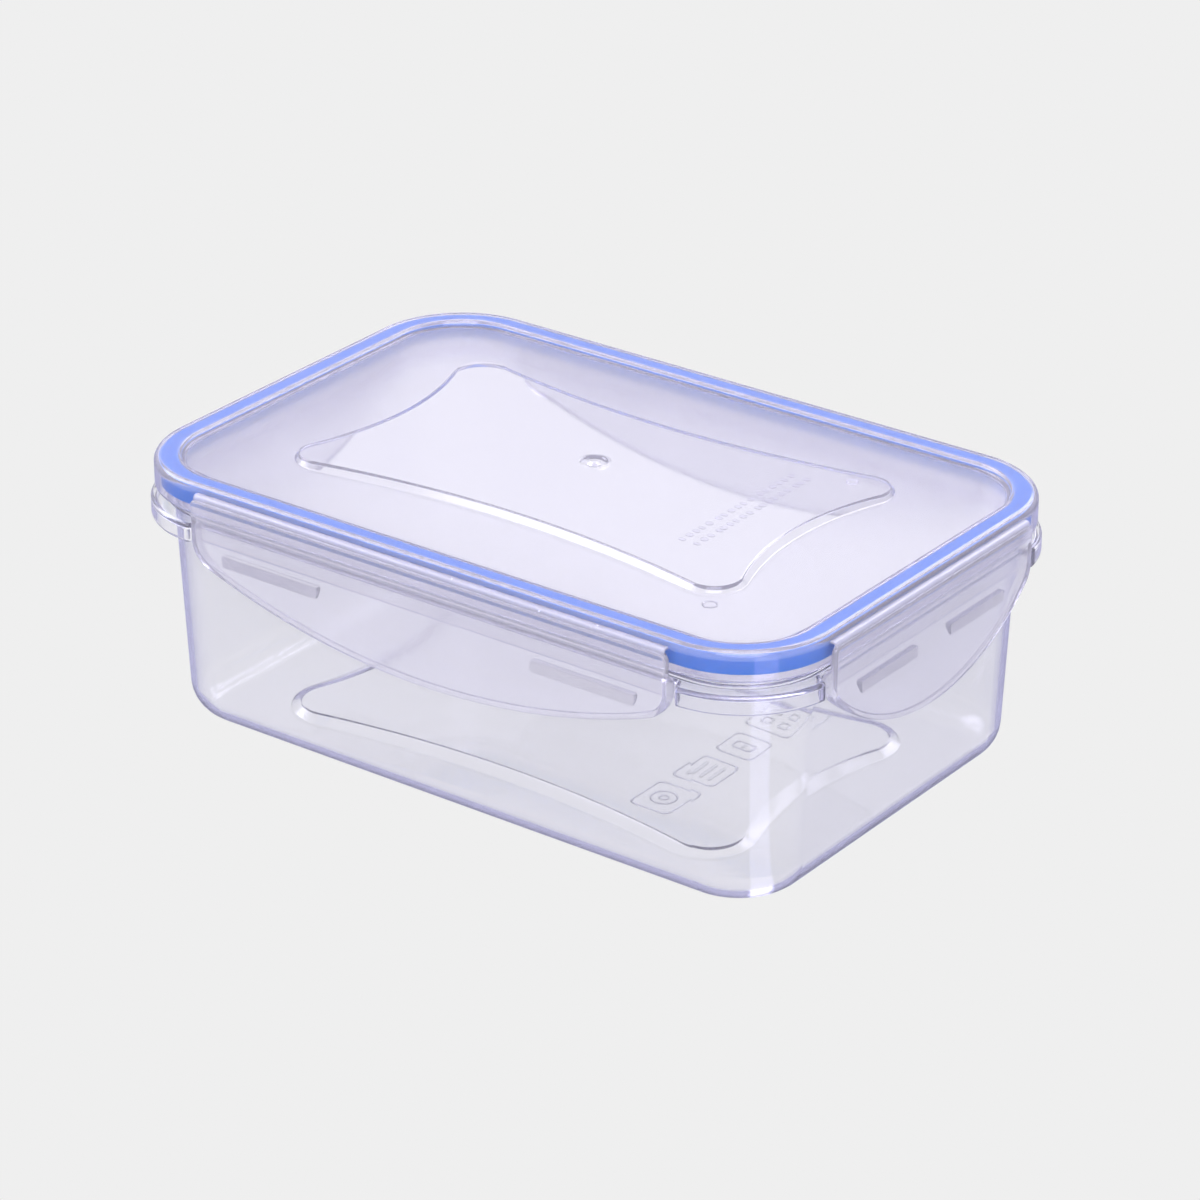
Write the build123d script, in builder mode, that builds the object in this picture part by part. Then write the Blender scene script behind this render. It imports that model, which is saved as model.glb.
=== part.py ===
"""A food container with a snap lid: a clear tub, a lid with four hinged flaps, and a seal ring.

X runs along the length, Y along the width and Z up. The origin is under the middle of the
tub, on the surface that it stands on. All sizes are in millimetres. Most outlines run
parallel to the lid's outer edge, so they are given as an inset from that edge: 0 is the
edge itself, and a larger inset is further in.
"""

import os
from math import atan2, degrees

from build123d import *

# Overall sizes
lid_length = 205.0
lid_width = 137.0
overall_height = 73.5
corner_radius = 26.5  # of the lid's edge, seen from above

# Lid
skirt_height = 8.0
skirt_thickness = 1.4
cap_thickness = 1.2  # over the seal channel
cap_radius = 1.2
plug_height = 12.0  # of the wall inside the seal channel, from the lid's top down
plug_thickness = 1.2
panel_drop = 1.5  # from the top of the rim cap to the panel
panel_thickness = 1.3
panel_edge_gap = 0.6  # from the seal channel's inner wall to the panel's edge

# Raised panel of the lid, a pillow shape with hollow sides
boss_end_inset = 39.9  # at the middle of an end
boss_side_inset = 34.5  # at the middle of a long side
boss_corner_end_inset = 26.5  # where the sides would meet without their rounded corners
boss_corner_side_inset = 24.4
boss_corner_radius = 6.5
boss_height = 1.5
boss_edge_radius = 0.6
gate_radius = 3.6
gate_nub_radius = 1.2
gate_depth = 0.4
gate_x, gate_y = -2.0, 3.4

# Recess under the floor, which takes the raised panel of the lid below it in a stack
stack_side_clearance = 2.5
stack_top_clearance = 0.3

# Seal ring
seal_width = 4.6
seal_height = 5.15
seal_side_clearance = 0.3
seal_top_clearance = 0.15
seal_groove_depth = 1.1
seal_groove_side_clearance = 0.4
seal_groove_top_clearance = 0.3

# Tub
wall_thickness = 1.3
wall_taper = 2.7  # how far the wall leans in from the ledge down to the standing plane
floor_thickness = 1.5
foot_radius = 9.0  # of the rounded edge between wall and floor
plug_side_clearance = 0.4  # from the tub's wall to the lid's plug
rim_thickness = 1.4
rim_height = 5.4  # above the ledge
rim_radius = 0.5

# Ledge round the tub, with its down-turned lip
ledge_thickness = 1.5
lip_height = 5.1
lip_thickness = 1.4
ledge_side_inset = 2.0  # behind a flap
ledge_corner_proud = 1.3  # past the lid's edge, between two flaps
ledge_edge_radius = 0.6
lobe_clearance = 0.9  # from a flap's end to the corner part of the ledge

# Flaps
long_flap_setback = 1.7  # from the end of the lid's straight side
short_flap_setback = -1.8  # a little into the corners
long_flap_height = 30.7
short_flap_height = 31.8
long_flap_rise = 14.5  # of its curved lower edge, from the middle to the ends
short_flap_rise = 18.4
flap_top_drop = 3.1  # from the lid's top
flap_gap = 0.8  # from the lid's edge to the flap's inner face
flap_thickness = 1.4
flap_corner_radius = 8.0
flap_shoulder_radius = 0.7
flap_border_width = 1.4
flap_border_depth = 1.0
flap_end_clearance = 0.3  # from the flap's end wall to the ledge
border_top_clearance = 0.5  # below the skirt

# Catch ribs on the flaps, which snap in under the ledge's lip
long_rib_end_gap = 9.55  # from the flap's end
short_rib_end_gap = 11.8
long_rib_middle_gap = 66.5  # between the two ribs of a flap
short_rib_middle_gap = 14.0
rib_reach = 1.8  # under the ledge
rib_clearance = 0.3  # below the lip
rib_root_height = 3.4
rib_tip_height = 1.5

# Living hinges
web_thickness = 0.5
web_rise = 1.2  # above the flap
web_drop_gap = 1.0  # from the lid's edge to the hanging part of the web
web_end_clearance = 1.0

# Heights, from the lid's top down
skirt_bottom = overall_height - skirt_height
plug_bottom = overall_height - plug_height
cap_under = overall_height - cap_thickness
panel_top = overall_height - panel_drop
panel_under = panel_top - panel_thickness
seal_bottom = cap_under - seal_top_clearance - seal_height
rim_top = seal_bottom + seal_groove_depth - seal_groove_top_clearance
ledge_top = rim_top - rim_height
ledge_under = ledge_top - ledge_thickness
lip_bottom = ledge_top - lip_height
flap_top = overall_height - flap_top_drop
web_top = flap_top + web_rise

# Insets, from the lid's edge inwards
seal_outer_inset = skirt_thickness + seal_side_clearance
seal_inner_inset = seal_outer_inset + seal_width
plug_inset = seal_inner_inset + seal_side_clearance
panel_edge_inset = plug_inset + panel_edge_gap
rim_inset = seal_outer_inset + (seal_width - rim_thickness) / 2
neck_inset = plug_inset - plug_side_clearance - wall_thickness
foot_inset = neck_inset + wall_taper

# Widths of the flaps
long_flap_width = lid_length - 2 * (corner_radius + long_flap_setback)
short_flap_width = lid_width - 2 * (corner_radius + short_flap_setback)


# Seen from outside, each side has its own plane: X to the right, Y up and Z out
sides = {
    "front": Plane((0, -lid_width / 2, 0), x_dir=(1, 0, 0), z_dir=(0, -1, 0)),
    "right": Plane((lid_length / 2, 0, 0), x_dir=(0, 1, 0), z_dir=(1, 0, 0)),
    "back": Plane((0, lid_width / 2, 0), x_dir=(-1, 0, 0), z_dir=(0, 1, 0)),
    "left": Plane((-lid_length / 2, 0, 0), x_dir=(0, -1, 0), z_dir=(-1, 0, 0)),
}
long_sides = ("front", "back")


def parallel_outline(inset, mode=Mode.ADD):
    """A rounded rectangle that runs parallel to the lid's edge."""
    RectangleRounded(
        lid_length - 2 * inset, lid_width - 2 * inset, corner_radius - inset, mode=mode
    )


def ring(outer_inset, inner_inset):
    """The band between two parallel outlines."""
    parallel_outline(outer_inset)
    parallel_outline(inner_inset, mode=Mode.SUBTRACT)


def ledge_outline(inset):
    """The ledge seen from above, set in by inset. A bay behind each flap makes room for it."""
    parallel_outline(inset - ledge_corner_proud)
    bay_depth = ledge_side_inset + ledge_corner_proud
    for sign in (-1, 1):
        with Locations((0, sign * (lid_width / 2 + ledge_corner_proud - bay_depth / 2 - inset / 2))):
            Rectangle(
                long_flap_width + 2 * (lobe_clearance + inset), bay_depth + inset, mode=Mode.SUBTRACT
            )
        with Locations((sign * (lid_length / 2 + ledge_corner_proud - bay_depth / 2 - inset / 2), 0)):
            Rectangle(
                bay_depth + inset, short_flap_width + 2 * (lobe_clearance + inset), mode=Mode.SUBTRACT
            )


def pillow_edges(grow=0.0):
    """Four hollow-sided edges round the lid's middle, grown outwards by the same amount all round."""
    x = lid_length / 2 - boss_corner_end_inset + grow
    y = lid_width / 2 - boss_corner_side_inset + grow
    half_length = lid_length / 2 - boss_end_inset + grow
    half_width = lid_width / 2 - boss_side_inset + grow
    ThreePointArc((-x, -y), (0, -half_width), (x, -y))
    ThreePointArc((x, -y), (half_length, 0), (x, y))
    ThreePointArc((x, y), (0, half_width), (-x, y))
    ThreePointArc((-x, y), (-half_length, 0), (-x, -y))


def pillow(grow=0.0):
    """The pillow shape as a finished face."""
    with BuildSketch() as shape:
        with BuildLine():
            pillow_edges(grow)
        make_face()
        fillet(shape.vertices(), boss_corner_radius + grow)
    return shape.sketch


def save(piece, name):
    """Label a finished piece and write it as one STEP file."""
    piece.part.label = name
    export_step(piece.part, f"parts/{name}.step")


def flap_size(side):
    """Width, height and lower edge's rise of the flap on one side, and its ribs' two gaps."""
    if side in long_sides:
        sizes = long_flap_width, long_flap_height, long_flap_rise
        return *sizes, long_rib_end_gap, long_rib_middle_gap
    sizes = short_flap_width, short_flap_height, short_flap_rise
    return *sizes, short_rib_end_gap, short_rib_middle_gap


os.makedirs("parts", exist_ok=True)

# ---------------------------------------------------------------- tub
draft = degrees(atan2(wall_taper, ledge_under))
wall_slope = wall_taper / ledge_under
recess_depth = boss_height + stack_top_clearance
cavity_foot_inset = foot_inset - wall_slope * floor_thickness + wall_thickness

with BuildPart() as cavity:
    with BuildSketch(Plane.XY.offset(floor_thickness)):
        parallel_outline(cavity_foot_inset)
    extrude(amount=ledge_top - floor_thickness, taper=-draft)
    fillet(cavity.edges().group_by(Axis.Z)[0], foot_radius - wall_thickness)
    with BuildSketch(Plane.XY.offset(floor_thickness)):
        add(pillow(stack_side_clearance + wall_thickness))
    extrude(amount=recess_depth, mode=Mode.SUBTRACT)

with BuildPart() as tub:
    with BuildSketch():
        parallel_outline(foot_inset)
    extrude(amount=ledge_top, taper=-draft)
    fillet(tub.edges().group_by(Axis.Z)[0], foot_radius)

    # the ledge stands further out at the corners than behind the flaps
    with BuildSketch(Plane.XY.offset(lip_bottom)):
        ledge_outline(0)
    extrude(amount=ledge_top - lip_bottom)
    with BuildSketch(Plane.XY.offset(lip_bottom)):
        ledge_outline(lip_thickness)
        parallel_outline(neck_inset, mode=Mode.SUBTRACT)
    extrude(amount=ledge_under - lip_bottom, mode=Mode.SUBTRACT)
    ledge_face = tub.faces().filter_by(Plane.XY).group_by(Axis.Z)[-1]
    fillet(ledge_face.edges(), ledge_edge_radius)

    with BuildSketch(Plane.XY.offset(ledge_under)):
        ring(rim_inset, rim_inset + rim_thickness)
    extrude(amount=rim_top - ledge_under)
    fillet(tub.edges().group_by(Axis.Z)[-1], rim_radius)

    add(cavity.part, mode=Mode.SUBTRACT)
    with BuildSketch():
        add(pillow(stack_side_clearance))
    extrude(amount=recess_depth, mode=Mode.SUBTRACT)
save(tub, "tub")

# ---------------------------------------------------------------- lid
with BuildPart() as lid:
    with BuildSketch(Plane.XY.offset(skirt_bottom)):
        parallel_outline(0)
    extrude(amount=overall_height - skirt_bottom)
    fillet(lid.edges().group_by(Axis.Z)[-1], cap_radius)
    with BuildSketch(Plane.XY.offset(skirt_bottom)):
        ring(skirt_thickness, plug_inset)
    extrude(amount=cap_under - skirt_bottom, mode=Mode.SUBTRACT)
    with BuildSketch(Plane.XY.offset(plug_bottom)):
        parallel_outline(plug_inset)
    extrude(amount=skirt_bottom - plug_bottom)
    with BuildSketch(Plane.XY.offset(plug_bottom)):
        parallel_outline(plug_inset + plug_thickness)
    extrude(amount=panel_under - plug_bottom, mode=Mode.SUBTRACT)
    with BuildSketch(Plane.XY.offset(panel_top)):
        parallel_outline(panel_edge_inset)
    extrude(amount=panel_drop, mode=Mode.SUBTRACT)

    # the raised panel, hollow below so that its wall keeps an even thickness
    with BuildSketch(Plane.XY.offset(panel_top)):
        add(pillow())
    extrude(amount=boss_height)
    boss_face = lid.faces().filter_by(Plane.XY).group_by(Axis.Z)[-1].sort_by(SortBy.AREA)[-1]
    fillet(boss_face.edges(), boss_edge_radius)
    with BuildSketch(Plane.XY.offset(panel_under)):
        add(pillow(-panel_thickness))
    extrude(amount=boss_height, mode=Mode.SUBTRACT)

    with BuildSketch(Plane.XY.offset(panel_top + boss_height)):
        with Locations((gate_x, gate_y)):
            Circle(gate_radius)
            Circle(gate_nub_radius, mode=Mode.SUBTRACT)
    extrude(amount=-gate_depth, mode=Mode.SUBTRACT)
save(lid, "lid")

# ---------------------------------------------------------------- seal ring
with BuildPart() as seal_ring:
    with BuildSketch(Plane.XY.offset(seal_bottom)):
        ring(seal_outer_inset, seal_inner_inset)
    extrude(amount=seal_height)
    with BuildSketch(Plane.XY.offset(seal_bottom)):
        ring(
            rim_inset - seal_groove_side_clearance,
            rim_inset + rim_thickness + seal_groove_side_clearance,
        )
    extrude(amount=seal_groove_depth, mode=Mode.SUBTRACT)
save(seal_ring, "seal_ring")

# ---------------------------------------------------------------- flaps, ribs and hinges
border_top = skirt_bottom - border_top_clearance
end_wall_depth = flap_gap + ledge_side_inset - flap_end_clearance
rib_top = lip_bottom - rib_clearance
rib_tip = -(ledge_side_inset + rib_reach)

for side, plane in sides.items():
    width, height, rise, rib_end_gap, rib_middle_gap = flap_size(side)
    bottom = flap_top - height

    with BuildSketch() as flap_shape:
        with BuildLine():
            low_right = (width / 2, bottom + rise)
            low_left = (-width / 2, bottom + rise)
            ThreePointArc(low_left, (0, bottom), low_right)
            Polyline(low_right, (width / 2, flap_top), (-width / 2, flap_top), low_left)
        make_face()
        low_corners = flap_shape.vertices().group_by(Axis.Y)[0]
        fillet(low_corners, flap_corner_radius)
        fillet(flap_shape.vertices().group_by(Axis.Y)[-1], flap_shoulder_radius)

    with BuildPart() as flap:
        with BuildSketch(plane.offset(flap_gap)):
            add(flap_shape.sketch)
        extrude(amount=flap_thickness)
        outer_face = flap.faces().sort_by(Axis(plane.origin, plane.z_dir))[-1]
        fillet(outer_face.edges(), flap_shoulder_radius)

        # a border all round below the shoulder, and deeper end walls
        with BuildSketch(plane.offset(flap_gap)):
            add(flap_shape.sketch)
            offset(flap_shape.sketch, -flap_border_width, mode=Mode.SUBTRACT)
            with Locations((0, flap_top)):
                Rectangle(width, 2 * (flap_top - border_top), mode=Mode.SUBTRACT)
        extrude(amount=-flap_border_depth)
        with BuildSketch(plane.offset(flap_gap)):
            add(flap_shape.sketch)
            offset(flap_shape.sketch, -flap_border_width, mode=Mode.SUBTRACT)
            with Locations((0, flap_top)):
                Rectangle(width, 2 * (flap_top - border_top), mode=Mode.SUBTRACT)
            with Locations((0, bottom)):
                Rectangle(width - 2 * flap_corner_radius, 2 * flap_top, mode=Mode.SUBTRACT)
        extrude(amount=-end_wall_depth)
    save(flap, f"{side}_flap")

    # each rib slopes below, so that it rides over the lip as the flap is pressed shut
    section = Plane(plane.origin, x_dir=plane.z_dir, z_dir=-plane.x_dir)
    rib_length = (width - rib_middle_gap) / 2 - rib_end_gap
    with BuildPart() as catch_ribs:
        for rib_start in (rib_middle_gap / 2, -rib_middle_gap / 2 - rib_length):
            with BuildSketch(section.offset(rib_start)):
                with BuildLine():
                    Polyline(
                        (flap_gap, rib_top),
                        (rib_tip, rib_top),
                        (rib_tip, rib_top - rib_tip_height),
                        (flap_gap, rib_top - rib_root_height),
                        close=True,
                    )
                make_face()
            extrude(amount=rib_length)
    save(catch_ribs, f"{side}_catch_ribs")

    # the web leaves the lid's edge level, then turns down to the flap
    with BuildPart() as hinge_web:
        web_length = width - 2 * web_end_clearance
        with BuildSketch(section.offset(-web_length / 2)):
            with BuildLine():
                Polyline(
                    (0, web_top),
                    (web_drop_gap + web_thickness / 2, web_top),
                    (web_drop_gap + web_thickness, web_top - web_thickness / 2),
                    (web_drop_gap + web_thickness, flap_top),
                    (web_drop_gap, flap_top),
                    (web_drop_gap, web_top - web_thickness),
                    (0, web_top - web_thickness),
                    close=True,
                )
            make_face()
        extrude(amount=web_length)
    save(hinge_web, f"{side}_hinge_web")

print("hinge axes:", web_drop_gap, "outside the lid's edge, height", (web_top + flap_top) / 2)
print("across the flaps:", lid_length + 2 * (flap_gap + flap_thickness))
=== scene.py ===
# %% [markdown]
# # A snap lid food container in clear polypropylene
#
# The real thing is three mouldings: a clear tub, a lid with four hinged flaps, and a blue
# silicone seal ring that sits in a channel under the lid's rim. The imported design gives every
# part's place and size, and each part here is built again as a smooth, closed shell over it.
# Clear plastic is judged by its edges, so every edge that light meets is rounded.

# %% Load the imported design
from math import asin, ceil, cos, pi, radians, sin, tan

import bmesh
import bpy
import numpy as np
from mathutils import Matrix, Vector


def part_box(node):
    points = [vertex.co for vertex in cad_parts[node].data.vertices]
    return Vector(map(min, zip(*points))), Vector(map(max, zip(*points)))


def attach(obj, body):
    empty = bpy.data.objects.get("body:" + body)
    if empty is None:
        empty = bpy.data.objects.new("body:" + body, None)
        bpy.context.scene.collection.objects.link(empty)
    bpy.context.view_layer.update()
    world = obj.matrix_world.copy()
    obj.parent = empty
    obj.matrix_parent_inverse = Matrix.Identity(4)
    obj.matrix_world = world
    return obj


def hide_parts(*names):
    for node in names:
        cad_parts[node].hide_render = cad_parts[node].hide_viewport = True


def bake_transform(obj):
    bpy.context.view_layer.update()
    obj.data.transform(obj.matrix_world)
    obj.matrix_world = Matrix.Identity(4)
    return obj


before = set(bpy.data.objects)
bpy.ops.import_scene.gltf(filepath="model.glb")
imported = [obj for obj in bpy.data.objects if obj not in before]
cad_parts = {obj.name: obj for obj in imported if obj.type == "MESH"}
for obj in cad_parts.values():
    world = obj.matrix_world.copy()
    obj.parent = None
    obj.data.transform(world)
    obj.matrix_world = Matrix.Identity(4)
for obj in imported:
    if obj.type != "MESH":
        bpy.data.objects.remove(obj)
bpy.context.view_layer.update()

# %% [markdown]
# ## Sizes
#
# Work in millimetres, as the drawing does, and turn to metres only when a mesh is made. The
# overall sizes are read from the design. Most outlines run parallel to the lid's outer edge,
# so a section through a part is a list of points, each an inset from that edge and a height.

# %% Driving sizes, in mm
mm = 0.001
lid_low, lid_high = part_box("lid")
_, tub_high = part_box("tub")
half_length = lid_high.x / mm
half_width = lid_high.y / mm
top = lid_high.z / mm
plug_bottom = lid_low.z / mm
rim_top = tub_high.z / mm
corner_radius = 26.5
wall = 1.3
corner_proud = tub_high.x / mm - half_length  # the ledge's corners stand out past the lid
print("lid's half sizes and top:", [round(size, 2) for size in (half_length, half_width, top)])
print("tub's rim:", round(rim_top, 2), "and its corners stand out by", round(corner_proud, 2))

# %% [markdown]
# ## Outlines
#
# A moulded part with rounded corners is easiest to build as a loft: many closed rings with
# the same number of points, joined by quads. All rings share one way of walking round:
# a straight side, then a corner, four times. That keeps the quads square to the edges, so
# highlights run clean along the rim, which a boolean or a remesh would break up. The points
# draw closer together towards each corner, where a change of bend would show first.

# %% Walk round the lid's edge
long_steps, short_steps, corner_steps = 64, 44, 26
out_of_reach = 1e3  # mm, for points that the nearest side of a kind is too far from


def walk():
    """Each quarter's outward and onward directions, its two half sizes and its steps."""
    for quarter in range(4):
        out = np.array([(1, 0), (0, 1), (-1, 0), (0, -1)][quarter], float)
        on = np.array((-out[1], out[0]))
        if quarter % 2 == 0:
            yield out, on, half_length, half_width, short_steps
        else:
            yield out, on, half_width, half_length, long_steps


def shares(steps):
    """Even shares from 0 up to, but without, 1."""
    return np.arange(steps) / steps


for out, _, reach, _, steps in walk():
    print("side facing", out, "is", round(reach, 1), "mm out and has", steps, "steps")


# %% The lid's edge
def lid_edge():
    """Points, normals, and how far each is along the edge from a long or short side's middle."""
    points, normals, from_long, from_short = [], [], [], []
    for out, on, reach, half_side, steps in walk():
        straight = half_side - corner_radius
        next_straight = reach - corner_radius
        for share in shares(steps):
            along = straight * sin((share - 0.5) * pi)
            points.append(out * reach + on * along)
            normals.append(out)
            from_long.append(abs(along) if steps == long_steps else out_of_reach)
            from_short.append(abs(along) if steps == short_steps else out_of_reach)
        for share in shares(corner_steps):
            angle = share * share * (3 - 2 * share) * pi / 2
            normal = out * cos(angle) + on * sin(angle)
            centre = out * next_straight + on * straight
            points.append(centre + normal * corner_radius)
            normals.append(normal)
            before = straight + corner_radius * angle
            after = next_straight + corner_radius * (pi / 2 - angle)
            from_long.append(before if steps == long_steps else after)
            from_short.append(before if steps == short_steps else after)
    return [np.array(a) for a in (points, normals, from_long, from_short)]


edge_points, edge_normals, from_long, from_short = lid_edge()
print("points round a ring:", len(edge_points))

# %% [markdown]
# The raised panel of the lid has four hollow sides, like a pillow. Each side is an arc that
# bulges inwards, and the corners are rounded to touch both arcs. A corner's centre lies where
# two circles cross: each is a side's arc, grown by the corner's radius. The recess in the
# tub's floor is the same outline grown a little, so that one container stacks on the next.

# %% Circles and arcs
def circle_crossing(centre_a, radius_a, centre_b, radius_b):
    """The crossing of two circles that lies nearer the origin."""
    across = centre_b - centre_a
    distance = np.linalg.norm(across)
    along = (distance**2 + radius_a**2 - radius_b**2) / (2 * distance)
    height = (radius_a**2 - along**2) ** 0.5
    unit = across / distance
    normal = np.array((-unit[1], unit[0]))
    found = [centre_a + unit * along + normal * height * sign for sign in (-1, 1)]
    return min(found, key=np.linalg.norm)


def arc_points(centre, radius, start, end, steps):
    """Points from angle start towards end, without the end."""
    angles = start + (end - start) * shares(steps)
    return [centre + radius * np.array((cos(a), sin(a))) for a in angles]


def angle_to(centre, point):
    """The direction from centre to point, as an angle."""
    return float(np.arctan2(point[1] - centre[1], point[0] - centre[0]))


print("a quarter circle in two steps:", [point.round(2) for point in arc_points(0, 1, 0, pi / 2, 2)])

# %% The pillow outline
tip_insets = (26.5, 24.4)  # from the lid's ends and sides to the pillow's square corners
waist_insets = (39.9, 34.5)  # from the lid's ends and sides to the hollows' middles
pillow_radius = 8.2
pillow_corner = np.array((half_length, half_width)) - tip_insets
pillow_middle = np.array((half_length, half_width)) - waist_insets


def pillow(grow):
    """The pillow outline, grown outwards by grow, with as many points as the lid's edge."""
    corner = pillow_corner + grow
    middle = pillow_middle + grow
    hollow = corner - middle
    bends = [(corner[1] ** 2 + hollow[0] ** 2) / (2 * hollow[0])]
    bends.append((corner[0] ** 2 + hollow[1] ** 2) / (2 * hollow[1]))
    radius = pillow_radius + grow
    points = []
    for out, on, _, _, steps in walk():
        own, other = (0, 1) if steps == short_steps else (1, 0)
        own_centre = out * (middle[own] + bends[own])
        next_centre = on * (middle[other] + bends[other])
        rounding = circle_crossing(
            own_centre, bends[own] + radius, next_centre, bends[other] + radius
        )
        half_turn = abs(asin(np.dot(rounding, on) / (bends[own] + radius)))
        facing = angle_to(own_centre, np.zeros(2))
        points += arc_points(
            own_centre, bends[own], facing + half_turn, facing - half_turn, steps
        )
        first = angle_to(rounding, own_centre)
        last = angle_to(rounding, next_centre)
        last += 2 * pi if last < first else 0
        points += arc_points(rounding, radius, first, last, corner_steps)
    return np.array(points)


print("pillow reaches, mm:", pillow(0).max(axis=0).round(2))

# %% [markdown]
# ## Sections
#
# A section is drawn as a few corners, each with its radius, as a toolmaker would dimension it.
# One function turns each corner into a rounded step. The ledge stands further out at the tub's
# corners than behind the flaps, so a section point also says what share of that swelling it
# takes. A bevel modifier could round the edges too, but it would round all of them alike.

# %% Rounded sections
arc_step = radians(11)
nearly_straight = pi - 0.01
run_on = 12.0  # mm; a section's end points lie this far on, to give its end corners a direction


def smooth_step(value, start, end):
    """0 before start, 1 after end, and an even S between."""
    share = np.clip((value - start) / (end - start), 0, 1)
    return share * share * (3 - 2 * share)


def rounded(corners):
    """A section with its inner corners rounded. Each corner is (across, height, share, radius)."""
    section = [np.array(corners[0][:3], float)]
    for before, here, after in zip(corners, corners[1:], corners[2:]):
        point, radius = np.array(here[:2], float), here[3]
        back = np.array(before[:2], float) - point
        ahead = np.array(after[:2], float) - point
        back /= np.linalg.norm(back)
        ahead /= np.linalg.norm(ahead)
        between = np.arccos(np.clip(back @ ahead, -1, 1))
        if radius == 0 or between > nearly_straight:
            section.append(np.array((*point, here[2])))
            continue
        halfway = (back + ahead) / np.linalg.norm(back + ahead)
        centre = point + halfway * radius / sin(between / 2)
        start = point + back * radius / tan(between / 2) - centre
        end = point + ahead * radius / tan(between / 2) - centre
        turn = pi - between
        steps = max(2, ceil(turn / arc_step))
        for step in range(steps + 1):
            share = step / steps
            spoke = (start * sin((1 - share) * turn) + end * sin(share * turn)) / sin(turn)
            section.append(np.array((*(centre + spoke), here[2])))
    section.append(np.array(corners[-1][:3], float))
    return section


def leaning_step(start, start_height, stop, stop_height, radius):
    """A step between two flats that follow the pillow. start and stop say how much it grows."""
    on = run_on if stop > start else -run_on
    corners = [
        (start - on, start_height, 0, 0),
        (start, start_height, 0, radius),
        (stop, stop_height, 0, radius),
        (stop + on, stop_height, 0, 0),
    ]
    return rounded(corners)[1:-1]


square_corner = [(0, 0, 0, 0), (2, 0, 0, 1), (2, 2, 0, 0)]
print("points on a rounded square corner:", len(rounded(square_corner)) - 2)

# %% [markdown]
# ## Rings, lofts and pieces
#
# A ring is an outline at one height. A loft bridges the rings in order, and its two ends are
# closed with one flat face each, so every piece is a closed shell that light can travel
# through. Weighted normals keep the broad faces flat in a reflection and let only the small
# roundings turn it, as a polished mould does.

# %% Rings
def level(points, height):
    """Flat points lifted to one height."""
    return np.column_stack((points, np.full(len(points), height)))


def parallel(inset, height):
    """A ring that runs parallel to the lid's edge. The inset may differ from point to point."""
    insets = np.broadcast_to(inset, len(edge_points))
    return level(edge_points - edge_normals * insets[:, None], height)


def pillow_rings(section):
    """Rings for a section given as (grow, height)."""
    return [level(pillow(grow), height) for grow, height, _ in section]


def shrink(points, height, shares_left):
    """Rings that shrink towards the middle of an outline."""
    return [level(points * share, height) for share in shares_left]


print("the lid's edge reaches, mm:", parallel(0, top).max(axis=0).round(2))


# %% Lofts and pieces
flat_weight = 80  # how strongly a large face turns the normals its way, of 100


def loft(shape, rings, closed=False):
    """Bridges rings of equally many points with quads."""
    loops = [[shape.verts.new(point) for point in ring] for ring in rings]
    pairs = list(zip(loops, loops[1:] + loops[:1] if closed else loops[1:]))
    count = len(loops[0])
    for lower, upper in pairs:
        for i in range(count):
            j = (i + 1) % count
            shape.faces.new((lower[i], lower[j], upper[j], upper[i]))
    return loops


def close_ends(shape, loops):
    """Closes a loft with a flat face at each end, whose edges stay crisp."""
    for loop in (loops[0], loops[-1]):
        for edge in shape.faces.new(loop).edges:
            edge.smooth = False


def new_piece(name, shape, material, body, slot, *nodes):
    """A closed, smoothly shaded piece that stands for CAD nodes and rides on their body."""
    mesh = bpy.data.meshes.new(name)
    bmesh.ops.recalc_face_normals(shape, faces=shape.faces)
    bmesh.ops.scale(shape, vec=(mm, mm, mm), verts=shape.verts)
    for face in shape.faces:
        face.smooth = True
    shape.to_mesh(mesh)
    shape.free()
    mesh.materials.append(material)
    piece = bpy.data.objects.new(name, mesh)
    bpy.context.scene.collection.objects.link(piece)
    evenly = piece.modifiers.new("flat faces stay flat", "WEIGHTED_NORMAL")
    evenly.weight, evenly.keep_sharp = flat_weight, True
    if body:
        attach(piece, body)
    if nodes:
        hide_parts(*nodes)
    print(name, "faces:", len(mesh.polygons))
    return piece


# %% [markdown]
# ## Plastic and silicone
#
# Polypropylene is a waxy, half-crystalline plastic. In a thin wall it is almost clear, and it
# shows its own cold lilac tint only where the eye looks along the wall, at rims and corners.
# So the tint is absorption inside the plastic, worked out from how far light travels. The
# surface itself stays nearly white, because a tinted surface would colour every crossing
# alike, and a look through the container crosses many.

# %% Colours and a node helper
def colour(hex_code):
    """An sRGB hex colour as linear red, green, blue and alpha."""
    channels = [int(hex_code[i : i + 2], 16) / 255 for i in (1, 3, 5)]
    linear = [c / 12.92 if c <= 0.04045 else ((c + 0.055) / 1.055) ** 2.4 for c in channels]
    return (*linear, 1.0)


def add_node(tree, kind, settings=None, links=None):
    """Adds a node. Settings and links go by a property's or input's name, or input's number."""
    node = tree.nodes.new(kind)
    for name, value in (settings or {}).items():
        if isinstance(name, int) or name in node.inputs:
            node.inputs[name].default_value = value
        else:
            setattr(node, name, value)
    for name, socket in (links or {}).items():
        tree.links.new(socket, node.inputs[name])
    return node


def new_material(name):
    """An empty node material, its node tree and its output node."""
    material = bpy.data.materials.new(name)
    material.use_nodes = True
    tree = material.node_tree
    tree.nodes.clear()
    return material, tree, add_node(tree, "ShaderNodeOutputMaterial")


print("a lilac, linear:", [round(channel, 3) for channel in colour("#C4BEEA")])

# %% [markdown]
# Spark-eroded steel gives the fine frost of the lid's flat panel: pits a third of a millimetre
# wide, drawn that coarse so that they show. The lid also freezes a little milky where it is
# thick or turns a corner, so some light is scattered back there instead of passing. Both come
# and go over the surface, so the lid's mesh says where, in two painted values for each point,
# and these two helpers read them.

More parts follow.
